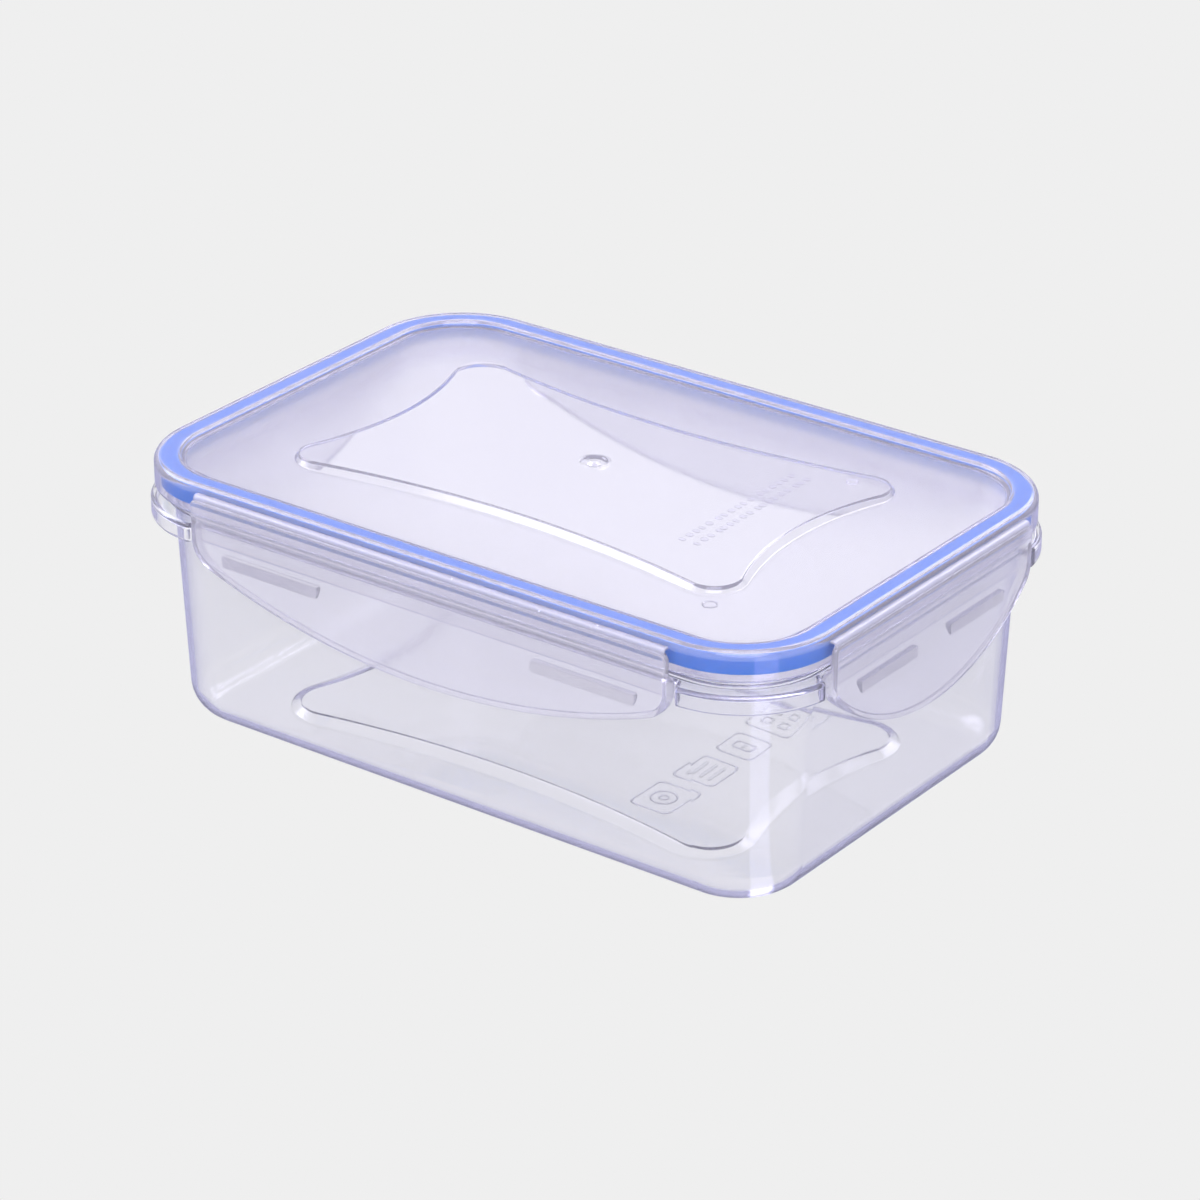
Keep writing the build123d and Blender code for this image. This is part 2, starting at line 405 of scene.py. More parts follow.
# %% Frost and milk
def frost_over(tree, in_mm, dullness, relief, frost):
    """Lays pits over the polish where the mesh is painted as eroded."""
    roughness, grain, depth = frost
    eroded = add_node(tree, "ShaderNodeAttribute", {"attribute_name": "eroded"}).outputs["Fac"]
    pits = add_node(
        tree, "ShaderNodeTexNoise", {"Scale": 1 / grain, "Detail": 2.0}, {"Vector": in_mm}
    ).outputs["Fac"]
    pitted = add_node(tree, "ShaderNodeMath", {"operation": "MULTIPLY"}, {0: pits, 1: eroded})
    relief = add_node(
        tree,
        "ShaderNodeBump",
        {"Distance": depth * mm},
        {"Height": pitted.outputs[0], "Normal": relief},
    )
    frosted = add_node(
        tree, "ShaderNodeMath", {"operation": "MULTIPLY", "use_clamp": True, 1: roughness}, {0: eroded}
    )
    dullness = add_node(
        tree, "ShaderNodeMath", {"operation": "MAXIMUM"}, {0: frosted.outputs[0], 1: dullness}
    )
    return dullness.outputs[0], relief.outputs[0]


def milk_over(tree, clear, milk):
    """How clear the plastic is: it loses up to milk where the mesh is painted as milky."""
    milky = add_node(tree, "ShaderNodeAttribute", {"attribute_name": "milky"}).outputs["Fac"]
    return add_node(
        tree, "ShaderNodeMapRange", {"To Min": clear, "To Max": clear - milk}, {"Value": milky}
    ).outputs[0]


panel_frost = (0.26, 0.35, 0.006)  # roughness, then the pits' width and depth in mm
lid_milk = 0.20
print("frosted panel's roughness:", panel_frost[0], "milkiest part of the lid:", lid_milk)

# %% [markdown]
# Polished steel gives the gloss. Moulded walls are never quite flat: the melt freezes in slow
# waves a few centimetres long, and handling leaves the gloss uneven in small patches. Both are
# noise, scaled in real millimetres. The haze is the small share of light that the plastic
# scatters back, and the bloom is a film of wax that shows as a faint sheen.
#
# All five plastics are the same resin. The tub is polished most, the flaps and their ribs have
# a satin finish, and the hinges are milky, because drawing the plastic out whitens it.

# %% Injection-moulded clear polypropylene
polypropylene_ior = 1.49
wave_length, wave_height = 28.0, 0.03  # mm
patch_length = 2.2  # mm
lilac, lilac_density = "#C4BEEA", 18.0
bloom, bloom_weight, bloom_roughness = "#D8D6F0", 0.05, 0.3
to_mm = (1 / mm,) * 3


def polypropylene(name, tint, haze, gloss, frost=None, milk=0.0):
    """Clear plastic. haze is the share scattered back, gloss the finest and dullest roughness."""
    material, tree, output = new_material(name)
    place = add_node(tree, "ShaderNodeTexCoord").outputs["Object"]
    in_mm = add_node(tree, "ShaderNodeMapping", {"Scale": to_mm}, {"Vector": place}).outputs[0]
    waves = add_node(
        tree, "ShaderNodeTexNoise", {"Scale": 1 / wave_length, "Detail": 1.0}, {"Vector": in_mm}
    ).outputs["Fac"]
    relief = add_node(
        tree, "ShaderNodeBump", {"Distance": wave_height * mm}, {"Height": waves}
    ).outputs[0]
    patches = add_node(
        tree, "ShaderNodeTexNoise", {"Scale": 1 / patch_length, "Detail": 4.0}, {"Vector": in_mm}
    ).outputs["Fac"]
    gloss_range = {"From Min": 0.35, "From Max": 0.75, "To Min": gloss[0], "To Max": gloss[1]}
    dullness = add_node(tree, "ShaderNodeMapRange", gloss_range, {"Value": patches}).outputs[0]
    if frost:
        dullness, relief = frost_over(tree, in_mm, dullness, relief, frost)
    surface = add_node(
        tree,
        "ShaderNodeBsdfPrincipled",
        {
            "Base Color": colour(tint),
            "Transmission Weight": 1 - haze,
            "IOR": polypropylene_ior,
            "Sheen Weight": bloom_weight,
            "Sheen Roughness": bloom_roughness,
            "Sheen Tint": colour(bloom),
        },
        {"Roughness": dullness, "Normal": relief},
    )
    if milk:
        tree.links.new(milk_over(tree, 1 - haze, milk), surface.inputs["Transmission Weight"])
    inside = add_node(
        tree, "ShaderNodeVolumeAbsorption", {"Color": colour(lilac), "Density": lilac_density}
    )
    tree.links.new(surface.outputs[0], output.inputs["Surface"])
    tree.links.new(inside.outputs[0], output.inputs["Volume"])
    return material


tub_plastic = polypropylene("polypropylene_clear_polished", "#FEFEFF", 0.055, (0.02, 0.06))
lid_plastic = polypropylene(
    "polypropylene_lid_part_eroded", "#FBFAFF", 0.035, (0.03, 0.07), panel_frost, lid_milk
)
flap_plastic = polypropylene("polypropylene_flap_satin", "#FCFBFF", 0.18, (0.09, 0.17))
rib_plastic = polypropylene("polypropylene_rib_satin", "#FEFDFF", 0.10, (0.10, 0.18))
web_plastic = polypropylene("polypropylene_hinge_drawn_milky", "#F9F8FF", 0.34, (0.15, 0.28))
plastics = (tub_plastic, lid_plastic, flap_plastic, rib_plastic, web_plastic)
print("plastics:", [plastic.name for plastic in plastics])

# %% [markdown]
# Silicone rubber is cast in a plain steel mould, and it comes out opaque, soft and a little
# dusty, so its highlight is broad and weak. Its colour sits under the clear lid, which adds
# white light of its own, so the blue is mixed purer than it looks in the end.

# %% Moulded blue silicone
silicone_ior = 1.41
rubber_grain, grain_height = 0.6, 0.02  # mm, the mould's texture
dust_length = 9.0  # mm, where dust has settled a little more or less
rubber_blue, dusted_blue = "#0088FA", "#0C90FF"


def silicone():
    """Matt blue rubber."""
    material, tree, output = new_material("silicone_blue_moulded")
    place = add_node(tree, "ShaderNodeTexCoord").outputs["Object"]
    in_mm = add_node(tree, "ShaderNodeMapping", {"Scale": to_mm}, {"Vector": place}).outputs[0]
    grain = add_node(
        tree, "ShaderNodeTexNoise", {"Scale": 1 / rubber_grain, "Detail": 3.0}, {"Vector": in_mm}
    ).outputs["Fac"]
    dust = add_node(
        tree, "ShaderNodeTexNoise", {"Scale": 1 / dust_length, "Detail": 2.0}, {"Vector": in_mm}
    ).outputs["Fac"]
    blue = add_node(
        tree,
        "ShaderNodeMix",
        {"data_type": "RGBA", 6: colour(rubber_blue), 7: colour(dusted_blue)},
        {0: dust},
    )
    dull_range = {"From Min": 0.3, "From Max": 0.7, "To Min": 0.42, "To Max": 0.6}
    dullness = add_node(tree, "ShaderNodeMapRange", dull_range, {"Value": grain})
    relief = add_node(tree, "ShaderNodeBump", {"Distance": grain_height * mm}, {"Height": grain})
    surface = add_node(
        tree,
        "ShaderNodeBsdfPrincipled",
        {"IOR": silicone_ior, "Specular IOR Level": 0.3},
        {"Base Color": blue.outputs[2], "Roughness": dullness.outputs[0], "Normal": relief.outputs[0]},
    )
    tree.links.new(surface.outputs[0], output.inputs["Surface"])
    return material


blue_silicone = silicone()
print("rubber:", blue_silicone.name)

# %% [markdown]
# ## Tub
#
# The tub is one moulding, so it is one closed shell. Its section starts under the floor, goes
# out round the foot, up the wall, round the ledge with its down-turned lip, over the rim and
# back down inside. Two pillow outlines, under and over the floor, make the stacking recess.
# The alternative, a solid shelled out by a modifier, gives no say over the edges' roundings.

# %% Heights and insets of the tub
ledge_top = rim_top - 5.4
ledge_under = ledge_top - 1.5
lip_bottom = ledge_top - 5.1
lip_inset, lip_thickness = 2.0, 1.4
rim_inset, rim_thickness = 3.3, 1.4
neck_inset = 4.9
foot_inset, foot_radius = neck_inset + 2.7, 9.0  # the walls lean in, to leave the mould
floor_thickness = 1.5
wall_lean = (foot_inset - neck_inset) / ledge_under
inner_foot = foot_inset + wall - wall_lean * floor_thickness
print("ledge from", round(lip_bottom, 2), "to", round(ledge_top, 2), "mm")

# %% [markdown]
# Behind each flap the ledge keeps close to the wall, so that the flap can fold down over it.
# At the corners it swells out, and a share for each point of a ring says how far along it is.

# %% The ledge's swelling at the corners
bay_gap = 0.3  # from a flap's end to where the swelling starts
swelling_run = 2.0
bay_end_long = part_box("front_flap")[1].x / mm + bay_gap
bay_end_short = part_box("right_flap")[1].y / mm + bay_gap
ledge_swell = lip_inset + corner_proud
swelling = np.minimum(
    smooth_step(from_long, bay_end_long, bay_end_long + swelling_run),
    smooth_step(from_short, bay_end_short, bay_end_short + swelling_run),
)
print("swelling starts at, mm:", round(bay_end_long, 2), round(bay_end_short, 2))
print("share of the ring that swells:", round(float(swelling.mean()), 2))


# %% Tub shell
recess_depth, recess_grow = 1.3, 2.5
recess_slope = 4.2  # how far the recess's edge leans over its depth
recess_round = 1.2
recess_rings = (0.5, 0.8)

tub_section = rounded(
    [
        (foot_inset + run_on, 0, 0, 0),
        (foot_inset, 0, 0, foot_radius),
        (neck_inset, ledge_under, 0, 0.5),
        (lip_inset + lip_thickness, ledge_under, 1, 0.4),
        (lip_inset + lip_thickness, lip_bottom, 1, 0.5),
        (lip_inset, lip_bottom, 1, 0.6),
        (lip_inset, ledge_top, 1, 0.9),
        (rim_inset, ledge_top, 0, 0.4),
        (rim_inset, rim_top, 0, 0.6),
        (rim_inset + rim_thickness, rim_top, 0, 0.6),
        (rim_inset + rim_thickness, ledge_top, 0, 0.5),
        (neck_inset + wall, ledge_top, 0, 0.4),
        (inner_foot, floor_thickness, 0, foot_radius - wall),
        (inner_foot + run_on, floor_thickness, 0, 0),
    ]
)[1:-1]


def build_tub():
    """The whole tub as one loft, from the middle of the underside to the middle of the floor."""
    floor_top = floor_thickness + recess_depth
    inner, outer = recess_grow - recess_slope / 2, recess_grow + recess_slope / 2
    rings = shrink(pillow(recess_grow), recess_depth, recess_rings)
    rings += pillow_rings(leaning_step(inner, recess_depth, outer, 0, recess_round))
    for inset, height, share in tub_section:
        rings.append(parallel(inset - ledge_swell * share * swelling, height))
    inner, outer = (recess_grow + (wall + lean) / 2 for lean in (-recess_slope, recess_slope))
    rings += pillow_rings(leaning_step(outer, floor_thickness, inner, floor_top, recess_round))
    rings += shrink(pillow(recess_grow), floor_top, reversed(recess_rings))
    shape = bmesh.new()
    close_ends(shape, loft(shape, rings))
    return new_piece("tub_shell", shape, tub_plastic, "tub", "clear_plastic", "tub")


tub = build_tub()

# %% [markdown]
# ## Lid
#
# The lid's section starts on top, in the middle of the raised panel. It steps down to the
# frosted panel, up to the rim's cap, round and down the skirt, up into the channel for the
# seal, down and up the plug wall that centres the lid in the tub, and back under the panel.
# The middle of the raised panel carries the gate mark, a shallow dish with a nub in it, where
# the plastic ran into the mould.

# %% Sizes of the lid
skirt_bottom, skirt_thickness = top - 8.0, 1.4
plug_inset, plug_thickness = 6.6, 1.2
cap_radius, cap_under = 2.1, top - 1.2
panel_inset, panel_top, panel_thickness = 7.2, top - 1.5, 1.3
panel_under = panel_top - panel_thickness
boss_wall, boss_slope, boss_round = 1.3, 2.2, 0.9
boss_under, boss_under_round = top - boss_wall, 0.6
boss_rings, boss_under_rings = (0.35, 0.7, 0.93), (0.9, 0.5)
gate_place, gate_radius, gate_depth = (-2.0, 3.4), 3.6, 0.4
gate_nub = gate_radius / 3

lid_section = rounded(
    [
        (panel_inset + run_on, panel_top, 0, 0),
        (panel_inset + 0.5, panel_top, 0, 0.8),
        (panel_inset - 0.4, top, 0, 0.7),
        (panel_inset - 1.6, top, 0, 0),  # the step's milkiness ends here, and the cap's just below
        (cap_radius + 0.3, top, 0, 0),
        (0, top, 0, cap_radius),
        (0, top - cap_radius - 0.3, 0, 0),
        (0, skirt_bottom, 0, 0.4),
        (skirt_thickness, skirt_bottom, 0, 0.4),
        (skirt_thickness, cap_under, 0, 0.3),
        (plug_inset, cap_under, 0, 0.3),
        (plug_inset, plug_bottom, 0, 0.4),
        (plug_inset + plug_thickness, plug_bottom, 0, 0.4),
        (plug_inset + plug_thickness, panel_under, 0, 0.5),
        (plug_inset + run_on, panel_under, 0, 0),
    ]
)[1:-1]
print("points in the lid's section, from panel to panel:", len(lid_section))

# %% [markdown]
# The finish is painted on while the rings are at hand: the frost on the flat panel, and a
# share of the milk on the raised middle, on the panel and along the rim's two edges.

# %% Lid shell
boss_milk, panel_milk, edge_milk = 0.65, 0.72, 0.5
step_reach = 1.5  # how far the milk spreads from the panel's step
hair = 0.01  # mm, so that points right at a limit count as on it


def circle(centre, radius, like):
    """A circle with a point for each point of an outline, in the same directions."""
    angles = np.arctan2(like[:, 1], like[:, 0])
    return np.array(centre) + radius * np.column_stack((np.cos(angles), np.sin(angles)))


def on_edge(inset, height):
    """Whether a point of the section is on the cap's rounding or on the panel's step."""
    on_cap = inset <= cap_radius and height > top - cap_radius - hair
    on_step = abs(inset - panel_inset) < step_reach and height > panel_top - hair
    return on_cap or on_step


def paint(loops, layer, value):
    """Gives one value to every point of some loops."""
    for loop in loops:
        for point in loop:
            point[layer] = value


def gate_rings(outline):
    """Rings from the nub's middle, down its side, across the dish and up to the top face."""
    profile = [
        (gate_nub * 0.5, 0.05),
        (gate_nub, 0.12),
        (gate_nub + 0.25, gate_depth),
        (gate_radius - 0.35, gate_depth),
        (gate_radius, 0.1),
        (gate_radius + 0.25, 0),
        (gate_radius + 1.5, 0),
    ]
    return [level(circle(gate_place, radius, outline), top - depth) for radius, depth in profile]


def build_lid():
    """The lid as one loft, from the gate mark on top to the middle of the underside."""
    boss = pillow(0)
    half_step = boss_slope / 2
    rings = gate_rings(boss) + shrink(boss, top, boss_rings)
    rings += pillow_rings(leaning_step(-half_step, top, half_step, panel_top, boss_round))
    panel_start = len(rings) - 1
    rings += [parallel(inset, height) for inset, height, _ in lid_section]
    inner, outer = -(boss_slope + boss_wall) / 2, (boss_slope - boss_wall) / 2
    rings += pillow_rings(leaning_step(outer, panel_under, inner, boss_under, boss_under_round))
    rings += shrink(boss, boss_under, boss_under_rings)
    shape = bmesh.new()
    eroded = shape.verts.layers.float.new("eroded")
    milky = shape.verts.layers.float.new("milky")
    loops = loft(shape, rings)
    panel = loops[panel_start : panel_start + 2]
    section_loops = zip(lid_section, loops[panel_start + 1 :])
    paint(loops[:panel_start], milky, boss_milk)
    paint(panel, milky, panel_milk)
    paint(panel, eroded, 1.0)
    paint([loop for point, loop in section_loops if on_edge(*point[:2])], milky, edge_milk)
    close_ends(shape, loops)
    return new_piece("lid_shell", shape, lid_plastic, "lid", "lid_plastic", "lid")


lid = build_lid()

# %% [markdown]
# ## Moulded marks
#
# Fine raised lines, a sixth of a millimetre high, come from grooves cut into the mould: plain
# care signs on the tub's floor, and on the lid two rows of short dashes, a pin mark and a
# dimple. They could be bump in the material, but real relief bends the light that passes, and
# on clear plastic that is all that shows of them. Every mark is an outline with round corners.

# %% Lines, bars and rings
line_width, line_height = 0.5, 0.16
sunk = 0.02  # a mark starts this far inside the plastic that it stands on
mark_corner_steps = 6
bar_roundness = 0.9  # of 1, which would be a half circle at each end


def rounded_rectangle(centre, half_x, half_y, radius):
    """A closed outline with rounded corners."""
    points = []
    for quarter, (x, y) in enumerate([(1, 1), (-1, 1), (-1, -1), (1, -1)]):
        middle = np.array(centre) + np.array((x * (half_x - radius), y * (half_y - radius)))
        start, end = quarter * pi / 2, (quarter + 1) * pi / 2
        points += arc_points(middle, radius, start, end, mark_corner_steps)
        points.append(middle + radius * np.array((cos(end), sin(end))))
    return np.array(points)


def raised_outline(shape, outline, low, high):
    """A closed raised line that follows an outline, as wide as the mould's cutter."""
    centre = outline.mean(axis=0)
    reach = np.abs(outline - centre).max(axis=0)
    inner = centre + (outline - centre) * (1 - line_width / reach)
    edge = [(outline, low), (outline, high), (inner, high), (inner, low)]
    loft(shape, [level(points, height) for points, height in edge], closed=True)


def raised_ring(shape, centre, radius, flat, low, high):
    """A round raised line, with short flats where its four arcs meet."""
    outline = rounded_rectangle(centre, radius, radius, radius - flat)
    raised_outline(shape, outline, low, high)


def raised_bar(shape, centre, half_x, half_y, low, high):
    """A short raised bar."""
    outline = rounded_rectangle(centre, half_x, half_y, min(half_x, half_y) * bar_roundness)
    close_ends(shape, loft(shape, [level(outline, low), level(outline, high)]))


print("points round a mark:", len(rounded_rectangle((0, 0), 5, 5, 2)))

# %% Care signs on the tub's floor
signs_x = 41.5  # the signs stand in one row across the floor
sign_frames = [(-24.8, 6.2, 7.2), (-7.0, 6.2, 6.8), (10.0, 6.2, 6.0), (29.0, 8.0, 8.5)]
frame_corner = 2.0
ring_radii = (3.6, 1.4)
bar_spacing, bar_half = 2.9, (0.5, 4.0)
slot_half, slot_corner, slot_tongue = (3.4, 2.0), 1.2, (0.4, 0.9)
square_spacing, square_half, square_corner = 3.0, 1.8, 0.8


def build_floor_marks():
    """Four framed signs in a row: two rings, three bars, a slot and four small squares."""
    shape = bmesh.new()
    floor_top = floor_thickness + recess_depth
    heights = floor_top - sunk, floor_top + line_height
    for y, *half in sign_frames:
        raised_outline(shape, rounded_rectangle((signs_x, y), *half, frame_corner), *heights)
    rings_y, bars_y, slot_y, squares_y = [y for y, *_ in sign_frames]
    for radius in ring_radii:
        raised_ring(shape, (signs_x, rings_y), radius, 0.1, *heights)
    for place in (-bar_spacing, 0, bar_spacing):
        raised_bar(shape, (signs_x + place, bars_y), *bar_half, *heights)
    slot = rounded_rectangle((signs_x, slot_y), *slot_half, slot_corner)
    raised_outline(shape, slot, *heights)
    raised_bar(shape, (signs_x, slot_y), *slot_tongue, *heights)
    for up in (-square_spacing, square_spacing):
        for along in (-square_spacing, square_spacing):
            place = (signs_x + along, squares_y + up)
            square = rounded_rectangle(place, square_half, square_half, square_corner)
            raised_outline(shape, square, *heights)
    return new_piece("floor_marks", shape, tub_plastic, "tub", "clear_plastic")


floor_marks = build_floor_marks()

# %% Dashes, pin mark and dimple on the lid
dash_rows = [(47.0, (2, 3, 2)), (42.6, (3, 2, 3))]  # where each stands, and what spaces it out
dash_halves, dash_half_height = (0.605, 0.99, 0.77), 1.0
dash_gap, word_gap = 0.8, 1.2
dashes_from, dashes_to = -20.0, 28.0
pin_place, pin_radius, pin_height = (68.4, -44.4), 2.0, 0.12
dimple_place, dimple_radius = (57.0, 33.5), 1.6


def build_lid_marks():
    """Two rows of dashes and a dimple under the raised middle, and a pin mark on the panel."""
    shape = bmesh.new()
    heights = boss_under - line_height, boss_under + sunk
    for x, rhythm in dash_rows:
        y, count = dashes_from, 0
        while y < dashes_to:
            half = dash_halves[count % 3]
            raised_bar(shape, (x, y), dash_half_height, half, *heights)
            y += 2 * half + dash_gap + (word_gap if count % rhythm[count % 3] == 0 else 0)
            count += 1
    raised_ring(shape, pin_place, pin_radius, 0.05, panel_top - sunk, panel_top + pin_height)
    raised_ring(shape, dimple_place, dimple_radius, 0.05, *heights)
    return new_piece("lid_marks", shape, lid_plastic, "lid", "lid_plastic")


lid_marks = build_lid_marks()

# %% [markdown]
# ## Seal ring
#
# A soft, nearly square section with rounded corners, and a groove below where the tub's rim
# presses. It is a loft that closes on itself, like a tyre. A curve with a bevel would do for a
# round cord, but a loft follows the lid's edge with the same points as everything round it.

# %% Seal ring
seal_outer, seal_inner = 1.7, 6.3
seal_height, seal_gap = 5.15, 0.15
seal_top = cap_under - seal_gap
seal_bottom = seal_top - seal_height
groove_depth, groove_gap = 1.1, 0.4
groove_outer, groove_inner = rim_inset - groove_gap, rim_inset + rim_thickness + groove_gap


def build_seal():
    """The ring's section walks round once and closes."""
    middle = (seal_outer + seal_inner) / 2
    section = rounded(
        [
            (middle, seal_top, 0, 0),
            (seal_outer, seal_top, 0, 0.5),
            (seal_outer, seal_bottom, 0, 0.4),
            (groove_outer, seal_bottom, 0, 0.3),
            (groove_outer, seal_bottom + groove_depth, 0, 0.4),
            (groove_inner, seal_bottom + groove_depth, 0, 0.4),
            (groove_inner, seal_bottom, 0, 0.3),
            (seal_inner, seal_bottom, 0, 0.4),
            (seal_inner, seal_top, 0, 0.5),
            (middle, seal_top, 0, 0),
        ]
    )[:-1]
    shape = bmesh.new()
    loft(shape, [parallel(inset, height) for inset, height, _ in section], closed=True)
    return new_piece("seal_ring_soft", shape, blue_silicone, "lid", "blue_silicone", "seal_ring")


seal = build_seal()

# %% [markdown]
# ## Flaps
#
# Each flap is a thin plate with a curved lower edge, a border that stiffens it, and deeper end
# walls. Its outline is made of arcs that keep their centres when the outline is set in, so
# rings from the edge inwards stay evenly spaced. The section goes from the middle of the outer
# face, round the edge and the border, to the middle of the inner face. All four flaps are one
# function, drawn as seen from outside and then turned to their side.

# %% Sides, seen from outside
outward_of = {"front": (0, -1), "right": (1, 0), "back": (0, 1), "left": (-1, 0)}


def side_axis(side):
    """The axis that a side runs along, 0 or 1, and the lid's reach out to it."""
    return (0, half_width) if side in ("front", "back") else (1, half_length)


def to_world(side, points):
    """Points (along, out, height) of a side, seen from outside, as (x, y, z)."""
    along, out, height = np.asarray(points, float).T
    reach = side_axis(side)[1]
    facing = outward_of[side]
    x = facing[0] * (reach + out) - facing[1] * along
    y = facing[1] * (reach + out) + facing[0] * along
    return np.column_stack((x, y, height))


print("middle of the right side:", to_world("right", [(0, 0, 0)])[0].round(2))

# %% Outline of a flap
flap_corner, flap_shoulder, least_shoulder = 8.0, 1.6, 0.2
flap_rise = (14.5, 18.4)  # how far the lower edge rises, on a long and on a short side
top_steps, side_steps, bend_steps = 48, 8, 64
shoulder_steps, low_corner_steps = 6, 12


def flap_outline(half, high, low, rise, inset):
    """The flap's outline set in by inset, as (along, height), anticlockwise from the top right."""
    bend = (half**2 + rise**2) / (2 * rise)
    middle = low + bend
    corner_x = half - flap_corner
    corner_z = middle - ((bend - flap_corner) ** 2 - corner_x**2) ** 0.5
    shoulder = max(flap_shoulder - inset, least_shoulder)
    across, side_top = half - inset - shoulder, high - inset - shoulder
    lean = float(np.arctan2(corner_x, middle - corner_z))
    low_corner = flap_corner - inset
    lowest = 1.5 * pi
    right, left = np.array((corner_x, corner_z)), np.array((-corner_x, corner_z))
    right_shoulder, left_shoulder = np.array((across, side_top)), np.array((-across, side_top))
    climb = side_top - corner_z
    points = [(across * (1 - 2 * s), high - inset) for s in shares(top_steps)]
    points += arc_points(left_shoulder, shoulder, pi / 2, pi, shoulder_steps)
    points += [(inset - half, side_top - climb * s) for s in shares(side_steps)]
    points += arc_points(left, low_corner, pi, lowest - lean, low_corner_steps)
    points += arc_points(
        np.array((0, middle)), bend - inset, lowest - lean, lowest + lean, bend_steps
    )
    points += arc_points(right, low_corner, lowest + lean, 2 * pi, low_corner_steps)
    points += [(half - inset, corner_z + climb * s) for s in shares(side_steps)]
    points += arc_points(right_shoulder, shoulder, 0, pi / 2, shoulder_steps)
    return np.array(points, float)


def flap_sizes(side):
    """Half width, highest and lowest points and the lower edge's rise."""
    low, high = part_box(f"{side}_flap")
    axis, _ = side_axis(side)
    return (high[axis] - low[axis]) / 2 / mm, high.z / mm, low.z / mm, flap_rise[axis]


print("front flap:", [round(size, 2) for size in flap_sizes("front")])
print("right flap:", [round(size, 2) for size in flap_sizes("right")])

# %% Flap shells
flap_inner, flap_thickness = 0.8, 1.4  # the plate's inner face stands off the lid's side
flap_outer = flap_inner + flap_thickness
border_width, border_depth, end_depth = 1.4, 1.0, 2.5
border_top, border_fade = skirt_bottom - 0.5, 2.0
end_wall_run = (11, 3)  # the end walls deepen between these distances from the flap's end
face_insets = (2.5, 4, 6)  # rings that carry each broad face in from the edge


def flap_rings(side):
    """Rings from the outer face's middle, round the edge and border, to the inner face."""
    sizes = flap_sizes(side)
    half = sizes[0]
    across, heights = flap_outline(*sizes, 0).T
    below = smooth_step(-heights, -border_top, border_fade - border_top)
    at_end = smooth_step(np.abs(across), *(half - run for run in end_wall_run)) * below
    depth = below + (end_depth / border_depth - 1) * at_end
    section = rounded(
        [
            (run_on, flap_outer, 0, 0),
            (0, flap_outer, 0, 0.9),
            (0, flap_inner - border_depth, 1, 0.35),
            (border_width, flap_inner - border_depth, 1, 0.35),
            (border_width, flap_inner, 0, 0.2),
            (run_on, flap_inner, 0, 0),
        ]
    )[1:-1]
    outside = [(inset, flap_outer, 0) for inset in reversed(face_insets)]
    inside = [(inset, flap_inner, 0) for inset in face_insets]
    rings = []
    for inset, out, _ in [*outside, *section, *inside]:
        along, height = flap_outline(*sizes, inset).T
        sunken = flap_inner + (out - flap_inner) * depth
        place = np.where(out < flap_inner, sunken, out)
        rings.append(to_world(side, np.column_stack((along, place, height))))
    return rings


def build_flap(side):
    """One flap as a closed shell."""
    shape = bmesh.new()
    close_ends(shape, loft(shape, flap_rings(side)))
    name = f"{side}_flap"
    return new_piece(f"{name}_shell", shape, flap_plastic, name, "lid_plastic", name)


flaps = {side: build_flap(side) for side in outward_of}

# %% [markdown]
# ## Catch ribs
#
# Two ribs stand inside each flap. Their sloped underside rides over the ledge's lip as the
# flap is pressed, then the flat top snaps in under it. A rib is a short bar, so it is lofted
# along its length, with smaller sections at both ends that make its rounded ends. It is drawn
# shallow, with a steep underside, because a long slope in clear plastic mirrors the floor and
# turns into a dark bar.

# %% Catch ribs
rib_gaps = (66.5, 14.0)  # between the two ribs of a flap, on a long and on a short side
rib_sunk = 0.2  # the rib's root starts this far inside the flap
rib_nose = 0.38  # the share of the design's depth that the rib stands out
rib_face = 0.6  # the height of its blunt crest
rib_end_round, rib_end_size = 0.6, 0.65  # a rib's ends are drawn in to this share of its section
root_round, nose_round = 0.1, 0.25


def rib_ends(start, stop):
    """Where a rib's sections stand along it, with the size of each."""
    ends = []
    for share in (0, 0.35, 1):
        size = 1 - (1 - rib_end_size) * (1 - share) ** 2
        ends.append((start + rib_end_round * share, size))
    return ends + [(start + stop - place, size) for place, size in reversed(ends)]


def build_ribs(side):
    """Both ribs of one flap, as two closed bars in one piece."""
    low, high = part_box(f"{side}_catch_ribs")
    axis, reach = side_axis(side)
    end, half_gap = high[axis] / mm, rib_gaps[axis] / 2
    rib_top, rib_low = high.z / mm, low.z / mm
    innermost, outermost = sorted(abs(limit[1 - axis]) / mm for limit in (low, high))
    root = outermost - reach + rib_sunk
    nose = root - rib_nose * (outermost - innermost)
    half_way = (rib_top + rib_low) / 2
    section = rounded(
        [
            (root, half_way, 0, 0),
            (root, rib_top, 0, root_round),
            (nose, rib_top, 0, nose_round),
            (nose, rib_top - rib_face, 0, nose_round),
            (root, rib_low, 0, root_round),
            (root, half_way, 0, 0),
        ]
    )[:-1]
    middle = np.array(((root + nose) / 2, half_way))
    shape = bmesh.new()
    for start, stop in ((half_gap, end), (-end, -half_gap)):
        rings = []
        for place, size in rib_ends(start, stop):
            points = [(place, *(middle + (point[:2] - middle) * size)) for point in section]
            rings.append(to_world(side, points))
        close_ends(shape, loft(shape, rings))
    name = f"{side}_catch_ribs"
    return new_piece(f"{name}_bars", shape, rib_plastic, f"{side}_flap", "lid_plastic", name)


ribs = {side: build_ribs(side) for side in outward_of}
